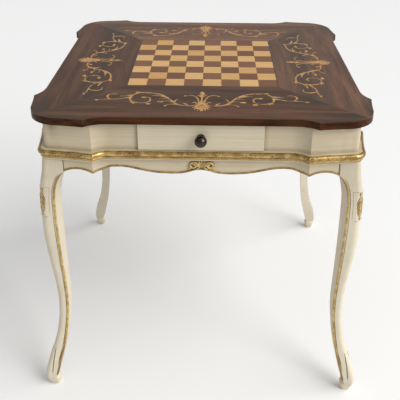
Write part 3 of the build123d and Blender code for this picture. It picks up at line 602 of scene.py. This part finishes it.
def rod(points, radius, ends=1.0, smooth=True):
    """A round bead bent along a line; its ends may taper."""
    bpy.ops.curve.primitive_bezier_curve_add(location=(0, 0, 0))
    line = bpy.context.object
    spline = line.data.splines[0]
    spline.bezier_points.add(len(points) - 2)
    last = len(points) - 1
    for index, (place, point) in enumerate(zip(points, spline.bezier_points)):
        point.handle_left_type = point.handle_right_type = "AUTO" if smooth else "VECTOR"
        point.co = place
        point.radius = ends if index in (0, last) else 1.0
    line.data.resolution_u = BEAD_SMOOTHNESS
    line.data.bevel_depth = radius
    line.data.bevel_resolution = BEAD_ROUNDNESS
    line.data.use_fill_caps = True
    pick(line)
    bpy.ops.object.convert(target="MESH")
    bead = bpy.context.object
    turn_outwards(bead)
    return bead


# Legs

# Leg stations from the shoulder to the toe. The first number is the height, as a share of the waist's.
# The others are shares of the blank: the outer corner, the bead, the face, and the corner's radius.
LEG_STATIONS = (
    (0.948, 0.650, 0.000, 0.590, 0.160),
    (0.926, 0.690, 0.150, 0.632, 0.170),
    (0.893, 0.735, 0.256, 0.683, 0.185),
    (0.856, 0.756, 0.299, 0.707, 0.195),
    (0.811, 0.768, 0.311, 0.720, 0.200),
    (0.692, 0.770, 0.299, 0.717, 0.195),
    (0.582, 0.705, 0.284, 0.655, 0.175),
    (0.476, 0.622, 0.267, 0.577, 0.160),
    (0.372, 0.588, 0.265, 0.542, 0.150),
    (0.289, 0.628, 0.313, 0.583, 0.150),
    (0.193, 0.785, 0.420, 0.740, 0.150),
    (0.119, 0.985, 0.570, 0.940, 0.140),
    (0.070, 1.075, 0.665, 1.035, 0.120),
    (0.042, 1.080, 0.740, 1.040, 0.100),
    (0.018, 1.020, 0.775, 0.985, 0.080),
    (0.000, 0.970, 0.790, 0.945, 0.070),
)

# The flute down a toe's face: its upper end and its drop as shares of the waist's height, and its
# place and lean as shares across the face
FLUTE_HEAD = 0.172
FLUTE_DROP = 0.112
FLUTE_ASIDE = 0.66
FLUTE_LEAN = 0.24
FLUTE_STEPS = 7
FLUTE_PROUD = 0.0003
FLUTE_RADIUS = 0.0014
# The rods of painted shade in the flutes: how deep they lie and their radius
FLUTE_SHADE_SUNK = 0.0009
FLUTE_SHADE_RADIUS = 0.0009

# The pad under a toe: its centre, half its height, its sole, how square it is except at its axis, and
# its reach by height
PAD_PLACE = 0.3885
PAD_HALF_HEIGHT = 0.0160
PAD_SOLE = 0.0008
PAD_LOWEST = 0.0002
PAD_SQUARENESS = 3.4
PAD_AXIS = 0.0001
PAD_SOLE_SPREAD = 6
PAD_TIP = 0.0020
PAD_PROFILE = (
    (0.000, 0.0106),
    (0.003, 0.0117),
    (0.011, 0.0138),
    (0.019, 0.0152),
    (0.022, 0.0148),
    (0.025, 0.0122),
    (0.029, 0.0060),
    (0.032, 0.0010),
)

# A leg bead follows the stations above this height. Below it come two spots: their heights, and how far
# each lies towards the corner
BEAD_TURNS = 0.08
BEAD_TAIL = ((0.064, 0.01), (0.046, 0.04))
LEG_BEAD_RADIUS = 0.0033
# A dark rod of painted shadow runs beside each bead
BEAD_SHADOW_RADIUS = 0.0011
BEAD_SHADOW_ASIDE = 0.115
BEAD_SHADOW_RAISED = 0.0012
# Front and back legs: their quarter turns, the bead's place across the face, and how deep it lies
LEG_BEADS = (("front", (0, 3), 0.03, 0.0020), ("back", (1, 2), 0.15, 0.0027))


def leg_place(station, share, sink=0.0):
    """A spot on the front right leg's front face: 0 at the bead and 1 at the outer corner."""
    height, outer, bead, face, _ = station
    start = Vector((POST_INNER + bead * LEG_BLANK, -POST_INNER - face * LEG_BLANK, 0))
    end = Vector((POST_INNER + outer * LEG_BLANK, -POST_INNER - outer * LEG_BLANK, 0))
    spot = start.lerp(end, share)
    spot.y += sink
    spot.z = height * WAIST_UNDER
    return spot


def knee_spot(station, share, sink=0.0):
    """A spot on the knee's front face that follows its rounded corner: 1 is the corner's middle."""
    spot = leg_place(station, share)
    corner = leg_place(station, 1.0)
    radius = station[4] * LEG_BLANK
    left = (corner - spot).length
    angle = math.radians(45) * max(0.0, 1 - left / radius)
    if angle > 0:
        middle = Vector((corner.x - radius, corner.y + radius, corner.z))
        spot = middle + Vector((math.sin(angle), -math.cos(angle), 0)) * radius
    return spot + Vector((-math.sin(angle), math.cos(angle), 0)) * sink


def station_at(height):
    """The leg's station at any height, between the two listed next to it."""
    for upper, lower in zip(LEG_STATIONS, LEG_STATIONS[1:]):
        if upper[0] >= height >= lower[0]:
            share = (upper[0] - height) / (upper[0] - lower[0])
            return tuple(a + (b - a) * share for a, b in zip(upper, lower))
    return LEG_STATIONS[-1]


def mirrored(points):
    """The same line on the leg's other face."""
    return [Vector((-p.y, -p.x, p.z)) for p in points]


def on_both_faces(line, radius, ends):
    """Two rods: one along a line on a leg's front face, and its like on the side face."""
    return [rod(line, radius, ends), rod(mirrored(line), radius, ends)]


def leg_bead_line(share, sink):
    """The line of a bead down a leg's front face."""
    line = [leg_place(station, share, sink) for station in LEG_STATIONS if station[0] > BEAD_TURNS]
    return line + [leg_place(station_at(height), share + aside, sink) for height, aside in BEAD_TAIL]


def flute_line(sink):
    """The line of the flute down a toe's front face."""
    line = []
    for step in range(FLUTE_STEPS + 1):
        part = step / FLUTE_STEPS
        station = station_at(FLUTE_HEAD - FLUTE_DROP * part)
        line.append(leg_place(station, FLUTE_ASIDE - FLUTE_LEAN * part, sink))
    return line


def pad_reach(height, around):
    """How far a toe's pad reaches out at a height, and less towards the middle of its sole."""
    if height < PAD_SOLE:
        return PAD_PROFILE[0][1] * min(1.0, around * PAD_SOLE_SPREAD)
    reach = PAD_TIP
    for (low, near), (high, far) in zip(PAD_PROFILE, PAD_PROFILE[1:]):
        if low <= height <= high:
            reach = near + (far - near) * (height - low) / (high - low)
    return reach


def toe_pad():
    """The plain pad under a toe, widest where the flutes end."""
    pad = ball(40, 24)
    for vertex in pad.data.vertices:
        x, y, z = vertex.co
        height = PAD_HALF_HEIGHT * (z + 1)
        around = math.hypot(x, y)
        reach = pad_reach(height, around)
        square = 1.0
        if around > PAD_AXIS:
            square = (abs(x) ** PAD_SQUARENESS + abs(y) ** PAD_SQUARENESS) ** (1 / PAD_SQUARENESS)
        vertex.co = (x / square * reach, y / square * reach, max(height, PAD_LOWEST))
    pad.location = (PAD_PLACE, -PAD_PLACE, 0.0)
    fix_place(pad)
    return pad


def carve_legs():
    """The legs with a flute cut in each toe face and a pad under the toes."""
    source = nodes["leg_front_right"]
    leg = source.copy()
    leg.data = source.data.copy()
    scene.collection.objects.link(leg)
    leg.parent = None
    leg.matrix_world = source.matrix_world.copy()
    fix_place(leg)
    turn_outwards(leg)
    flute = flute_line(-FLUTE_PROUD)
    for line in (flute, mirrored(flute)):
        cutter = rod(line, FLUTE_RADIUS, ends=0.25)
        pick(leg)
        cut = leg.modifiers.new("flute", "BOOLEAN")
        cut.operation = "DIFFERENCE"
        cut.solver = "EXACT"
        cut.object = cutter
        bpy.ops.object.modifier_apply(modifier=cut.name)
        bpy.data.objects.remove(cutter)
    leg = joined([leg, toe_pad()])
    settle(leg, "carved_leg_front_right", leg_paint, LEG_SHARP_FROM)
    pick(leg)
    even = leg.modifiers.new("even_shading", "WEIGHTED_NORMAL")
    even.keep_sharp = True
    bpy.ops.object.modifier_apply(modifier=even.name)
    legs = [leg] + carried_round(leg, "carved_leg", CORNERS)
    for corner, piece in zip(CORNERS, legs):
        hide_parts(f"leg_{corner}")


def leg_beads():
    """The gilded beads down each leg's outer faces, with a dark line of painted shadow beside them."""
    for group, turns, share, sink in LEG_BEADS:
        gilt = joined(on_both_faces(leg_bead_line(share, sink), LEG_BEAD_RADIUS, ends=0.35))
        bead = settle(gilt, f"leg_beads_{group}", bead_gold)
        # The dark rod beside the bead is painted shadow
        line = leg_bead_line(share + BEAD_SHADOW_ASIDE, sink - BEAD_SHADOW_RAISED)
        dark = joined(on_both_faces(line, BEAD_SHADOW_RADIUS, ends=0.3))
        glaze = settle(dark, f"bead_painted_shadow_{group}", painted_gold_shade)
        for turn in turns:
            copied(bead, turn, f"leg_beads_{CORNERS[turn]}")
            copied(glaze, turn, f"bead_painted_shadow_{CORNERS[turn]}")
        bpy.data.objects.remove(bead)
        bpy.data.objects.remove(glaze)


def toe_flute_shade():
    """Dark rods of painted shade lying in the flutes of the toes."""
    lines = joined(on_both_faces(flute_line(FLUTE_SHADE_SUNK), FLUTE_SHADE_RADIUS, ends=0.4))
    glaze = settle(lines, "toe_flute_shade_front_right", painted_flute_shade)
    carried_round(glaze, "toe_flute_shade", CORNERS)


# Knee carving

# A leaf lobe: how far its tip is drawn in, how deep and narrow its hollow is, and how its tip is raised
LOBE_POINT = 0.55
LOBE_HOLLOW = 0.45
LOBE_NARROW = 2.2
LOBE_RAISED = 0.18

# The knee's scrolls, each as spots of (share across the face, height)
KNEE_SCROLLS = (
    ((0.98, 0.886), (0.90, 0.885), (0.87, 0.880), (0.90, 0.875)),
    ((0.97, 0.872), (0.84, 0.866), (0.70, 0.856), (0.60, 0.844), (0.62, 0.838)),
    ((0.96, 0.856), (0.84, 0.849), (0.72, 0.838), (0.65, 0.827), (0.69, 0.822)),
    ((0.95, 0.840), (0.84, 0.832), (0.75, 0.820), (0.71, 0.810), (0.76, 0.806)),
    ((0.95, 0.824), (0.86, 0.816), (0.79, 0.804), (0.80, 0.797)),
    ((0.97, 0.807), (0.89, 0.799), (0.88, 0.792)),
    ((0.97, 0.791), (0.91, 0.785), (0.93, 0.780)),
)
KNEE_SUNK = 0.0021
KNEE_SCROLL_RADIUS = 0.0012
# The dark rods of painted shade behind the scrolls: how deep they lie and their radius
KNEE_SHADE_SUNK = 0.0042
KNEE_SHADE_RADIUS = 0.0029
# The leaves down the knee's corner: how many, their heights as shares, their size and how deep they lie.
# The last number says how far a round corner lies in from a sharp one, as a share of its radius.
KNEE_LEAVES = 6
KNEE_LEAF_HEAD = 0.880
KNEE_LEAF_DROP = 0.098
KNEE_LEAF_SIZE = (0.0128, 0.0066, 0.0042)
KNEE_LEAF_SUNK = 0.0023
ROUND_CORNER_SHARE = 0.293
# The fine line of painted shade round the knee's panel: heights and places across the face, as shares
PANEL_FOOT = 0.776
PANEL_HEAD = 0.892
PANEL_STEPS = 5
PANEL_EDGE = 0.33
PANEL_RUNG = (0.33, 0.45, 0.60, 0.72)
PANEL_LINE_RADIUS = 0.00042


def leaf_lobe(length, width, thickness, place=(0.0, 0.0, 0.0), turn=0.0):
    """One lobe of carved leaf: pointed, hollowed down its middle, and raised at the tip."""
    lobe = ball(16, 10)
    for vertex in lobe.data.vertices:
        x, y, z = vertex.co
        point = 1 - LOBE_POINT * max(z, 0.0) ** 2
        hollow = LOBE_HOLLOW * max(0.0, 1 - abs(x) * LOBE_NARROW) if y < 0 else 0.0
        vertex.co = (x * point * width / 2, (y * thickness / 2) * (1 - hollow), z * length / 2)
        vertex.co.y -= LOBE_RAISED * thickness * max(z, 0.0) ** 2
    lobe.rotation_euler = (0, 0, turn)
    lobe.location = place
    fix_place(lobe)
    return lobe


def knee_lines(lines, sink, radius, ends):
    """Rods along lines on both faces of the knee, joined."""
    rods = []
    for spots in lines:
        line = [knee_spot(station_at(height), share, sink) for share, height in spots]
        rods += on_both_faces(line, radius, ends)
    return joined(rods)


def knee_leaf(height):
    """A leaf on the knee's corner at a height."""
    _, outer, _, _, radius = station_at(height)
    reach = POST_INNER + outer * LEG_BLANK - radius * LEG_BLANK * ROUND_CORNER_SHARE - KNEE_LEAF_SUNK
    return leaf_lobe(*KNEE_LEAF_SIZE, place=(reach, -reach, height * WAIST_UNDER), turn=math.pi / 4)


def knee_carving():
    """Gilded scrolls and leaves on each knee, with painted shade round them: dark rods sunk behind the
    scrolls.
    """
    parts = [knee_lines(KNEE_SCROLLS, KNEE_SUNK, KNEE_SCROLL_RADIUS, ends=0.6)]
    for tier in range(KNEE_LEAVES):
        parts.append(knee_leaf(KNEE_LEAF_HEAD - KNEE_LEAF_DROP * tier / (KNEE_LEAVES - 1)))
    whole = joined(parts)
    carving = settle(whole, "knee_carving_front_right", gold, CARVING_SHARP_FROM)
    carried_round(carving, "knee_carving", CORNERS)
    dark = knee_lines(KNEE_SCROLLS, KNEE_SHADE_SUNK, KNEE_SHADE_RADIUS, ends=0.8)
    shade = settle(dark, "knee_shade_front_right", painted_gold_shade)
    carried_round(shade, "knee_shade", CORNERS)


def knee_panels():
    """The fine line of painted shade round each knee's sunk panel."""
    rise = PANEL_HEAD - PANEL_FOOT
    upright = [(PANEL_EDGE, PANEL_FOOT + rise * step / PANEL_STEPS) for step in range(PANEL_STEPS + 1)]
    rungs = [[(share, height) for share in PANEL_RUNG] for height in (PANEL_FOOT, PANEL_HEAD)]
    lines = knee_lines((upright, *rungs), 0.0, PANEL_LINE_RADIUS, ends=1.0)
    panel = settle(lines, "knee_panel_front_right", panel_shade_line)
    carried_round(panel, "knee_panel", CORNERS)


# Apron beads and cartouches

# The apron's edge is felt out in even steps and at the ears, from in front and then from below
APRON_HALF = 0.319
APRON_STEPS = 110
FEEL_FROM_FRONT = -0.5
FEEL_FROM_BELOW = 0.5
FEEL_HEIGHT = 0.662
FEEL_BEHIND_FACE = 0.002
APRON_BEAD_PROUD = 0.0003
APRON_BEAD_RAISED = 0.0016
APRON_BEAD_RADIUS = 0.0026

# A cartouche's C-scroll, seen from the front: its angles in degrees, how it rolls in, and its place
VOLUTE_STEPS = 25
VOLUTE_START = -62
VOLUTE_TURN = 440
VOLUTE_REACH = 0.0066
VOLUTE_CURL = 1.6
VOLUTE_EYE = 0.0012
VOLUTE_ASIDE = 0.0184
VOLUTE_WIDENED = 1.28
VOLUTE_RADIUS = 0.0026
# The C-scrolls' dark rods of painted shade: their radius and depth
VOLUTE_SHADE_RADIUS = 0.0033
VOLUTE_SHADE_SUNK = 0.0008
# Its shell: how many ribs, their fan in degrees, their size, and their places round the middle
SHELL_RIBS = 7
SHELL_FAN = 156
SHELL_RIB_SIZE = (0.0180, 0.0060, 0.0076)
SHELL_ASIDE = 0.0074
SHELL_UP = 0.0060
SHELL_PROUD = 0.0010
SHELL_LOWERED = 0.0012
# Its leaves: angle in radians, place aside and place up
CARTOUCHE_LEAVES = ((2.2, 0.0090, -0.0076), (2.5, 0.0274, -0.0070))
CARTOUCHE_LEAF_SIZE = (0.0115, 0.0046, 0.0042)
# The dark sheet of painted shade behind it: its place and the size of its middle
CARTOUCHE_PLACE = (0.002, -0.3632, 0.6512)
CARTOUCHE_SHADE_PLACE = (0.002, -0.3618, 0.6512)
CARTOUCHE_SHADE_MIDDLE = (0.0130, 0.0032, 0.0085)


def apron_edge_line(rail):
    """The lower front edge of the front apron, felt out along its length."""
    line = []
    steps = {round(APRON_HALF * (2 * step / APRON_STEPS - 1), 5) for step in range(APRON_STEPS + 1)}
    for x in sorted(steps | {-EAR_PLACE, EAR_PLACE}):
        start = Vector((x, FEEL_FROM_FRONT, FEEL_HEIGHT))
        _, spot, _, _ = rail.ray_cast(start, Vector((0, 1, 0)))
        face = spot.y
        start = Vector((x, face + FEEL_BEHIND_FACE, FEEL_FROM_BELOW))
        _, spot, _, _ = rail.ray_cast(start, Vector((0, 0, 1)))
        line.append(Vector((x, face - APRON_BEAD_PROUD, spot.z + APRON_BEAD_RAISED)))
    return line


def apron_beads():
    """The gilded bead along the lower edge of each apron."""
    gilt = rod(apron_edge_line(nodes["front_apron_rail"]), APRON_BEAD_RADIUS, smooth=False)
    bead = settle(gilt, "apron_bead_front", apron_gold)
    carried_round(bead, "apron_bead", SIDES)


def volute(hand, radius, depth):
    """A fat C-scroll that rolls in on itself."""
    points = []
    for step in range(VOLUTE_STEPS + 1):
        share = step / VOLUTE_STEPS
        angle = math.radians(VOLUTE_START + VOLUTE_TURN * share)
        reach = VOLUTE_REACH * (1 - share ** VOLUTE_CURL) + VOLUTE_EYE
        across = VOLUTE_ASIDE + VOLUTE_WIDENED * reach * math.sin(angle)
        points.append(Vector((hand * across, depth, reach * math.cos(angle))))
    return rod(points, radius, ends=0.6)


def volutes(radius, depth):
    """The pair of C-scrolls."""
    return [volute(hand, radius, depth) for hand in (-1, 1)]


def shell():
    """The ribs of a fanned shell that hangs between the scrolls."""
    ribs = []
    for step in range(SHELL_RIBS):
        angle = math.radians(SHELL_FAN * step / (SHELL_RIBS - 1) - SHELL_FAN / 2)
        across = math.sin(angle) * SHELL_ASIDE
        up = math.cos(angle) * SHELL_UP - SHELL_LOWERED
        spot = Vector((across, -SHELL_PROUD, up))
        rib = leaf_lobe(*SHELL_RIB_SIZE)
        rib.data.transform(Matrix.Translation(spot) @ Matrix.Rotation(angle, 4, "Y"))
        ribs.append(rib)
    return ribs


def cartouche_leaves():
    """The small leaves under the scrolls."""
    leaves = []
    for hand in (-1, 1):
        for angle, aside, up in CARTOUCHE_LEAVES:
            leaf = leaf_lobe(*CARTOUCHE_LEAF_SIZE)
            place = Matrix.Translation(Vector((hand * aside, 0, up)))
            leaf.data.transform(place @ Matrix.Rotation(hand * angle, 4, "Y"))
            leaves.append(leaf)
    return leaves


def cartouche_shade():
    """The dark sheet of painted shade that lies behind a cartouche."""
    middle = ball(28, 10)
    middle.scale = CARTOUCHE_SHADE_MIDDLE
    fix_place(middle)
    shade = joined([middle, *volutes(VOLUTE_SHADE_RADIUS, VOLUTE_SHADE_SUNK)])
    shade.scale = (1.0, 0.5, 1.0)
    shade.location = CARTOUCHE_SHADE_PLACE
    return settle(shade, "cartouche_painted_shade_front", painted_gold_shade)


def cartouches():
    """Two C-scrolls with a shell between them on each apron, painted shade lying behind them."""
    whole = joined([*volutes(VOLUTE_RADIUS, 0.0), *shell(), *cartouche_leaves()])
    whole.location = CARTOUCHE_PLACE
    piece = settle(whole, "gilded_cartouche_front", gold, CARVING_SHARP_FROM)
    shade = cartouche_shade()
    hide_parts("cartouche_front")
    for turn in QUARTER_TURNS:
        twin = copied(piece, turn, f"gilded_cartouche_{SIDES[turn]}")
        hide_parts(f"cartouche_{SIDES[turn]}")
        copied(shade, turn, f"cartouche_painted_shade_{SIDES[turn]}")


carve_legs()
leg_beads()
knee_carving()
knee_panels()
toe_flute_shade()
apron_beads()
cartouches()


# Room, lamps and camera

FLOOR_WIDTH = 60.0
FLOOR_PLACE = (0, 20.0, -0.0004)
FLOOR_TONE = (0.74, 0.74, 0.73)
FLOOR_AS_SEEN = (0.925, 0.925, 0.92)
SKY_TONE = (0.97, 0.985, 1.0)
SUN_DISTANCE = 6.0
CAMERA_PLACE = (0.02725, -1.70494, 1.36934)
# How far the camera looks down, round and askew, in radians
CAMERA_PITCH = 0.43712
CAMERA_YAW = -0.021867
CAMERA_ROLL = -0.003942
CAMERA_SENSOR = 36.0
CAMERA_LENS = 59.186
CAMERA_SHIFT = -0.175


def room():
    """A wide floor that keeps the table's shadow, and throws back a little less light than it shows."""
    bpy.ops.mesh.primitive_plane_add(size=FLOOR_WIDTH, location=FLOOR_PLACE)
    floor = bpy.context.object
    floor.name = "floor"
    tone = Finish("pale_floor", 0.9, gloss=0.0)
    rays = tone.node("LightPath").outputs
    seen = tone.math("MAXIMUM", rays["Is Camera Ray"], rays["Is Glossy Ray"])
    seen = tone.math("MAXIMUM", seen, rays["Is Transmission Ray"])
    tone.colour(tone.mix(seen, FLOOR_TONE, FLOOR_AS_SEEN))
    floor.data.materials.append(tone.material)


def sun(name, turn, rise, power, width, tint):
    """A broad lamp far away, turned round the table and risen over it, in degrees."""
    turn, rise = math.radians(turn), math.radians(rise)
    level = math.cos(rise)
    towards = Vector((math.sin(turn) * level, -math.cos(turn) * level, math.sin(rise)))
    place = towards * SUN_DISTANCE
    bpy.ops.object.light_add(type="SUN", location=place)
    light = bpy.context.object
    light.name = name
    light.data.energy = power
    light.data.angle = math.radians(width)
    light.data.color = tint
    light.rotation_euler = (-place).to_track_quat("-Z", "Y").to_euler()


def softbox(name, place, aim, size, power):
    """A square lamp that faces a spot."""
    bpy.ops.object.light_add(type="AREA", location=place)
    light = bpy.context.object
    light.name = name
    light.data.size = size
    light.data.energy = power
    light.rotation_euler = (Vector(aim) - Vector(place)).to_track_quat("-Z", "Y").to_euler()


def sky(strength):
    """An even light from all round."""
    world = bpy.data.worlds.new("studio") if scene.world is None else scene.world
    scene.world = world
    world.use_nodes = True
    ground = world.node_tree.nodes["Background"]
    ground.inputs["Color"].default_value = (*SKY_TONE, 1.0)
    ground.inputs["Strength"].default_value = strength


def stand_camera():
    """The photograph's own view: from the front, above, looking down at the board."""
    flat = math.cos(CAMERA_PITCH)
    ahead = Vector((math.sin(CAMERA_YAW) * flat, math.cos(CAMERA_YAW) * flat, -math.sin(CAMERA_PITCH)))
    right = Vector((math.cos(CAMERA_YAW), -math.sin(CAMERA_YAW), 0))
    down = ahead.cross(right)
    lean, level = math.sin(CAMERA_ROLL), math.cos(CAMERA_ROLL)
    right, down = right * level + down * lean, down * level - right * lean
    turn = Matrix((right, -down, -ahead)).transposed().to_4x4()
    bpy.ops.object.camera_add()
    camera = bpy.context.object
    camera.name = "camera"
    camera.matrix_world = Matrix.Translation(CAMERA_PLACE) @ turn
    camera.data.sensor_width = CAMERA_SENSOR
    camera.data.lens = CAMERA_LENS
    camera.data.shift_y = CAMERA_SHIFT
    scene.camera = camera


room()
sun("key", turn=77.0, rise=39.0, power=2.15, width=62.0, tint=(1.0, 0.99, 0.97))
softbox("side_box", place=(3.7, -3.6, 3.5), aim=(0.1, 0.0, 0.6), size=2.8, power=97.0)
sky(strength=0.48)
stand_camera()
scene.view_settings.view_transform = "Standard"
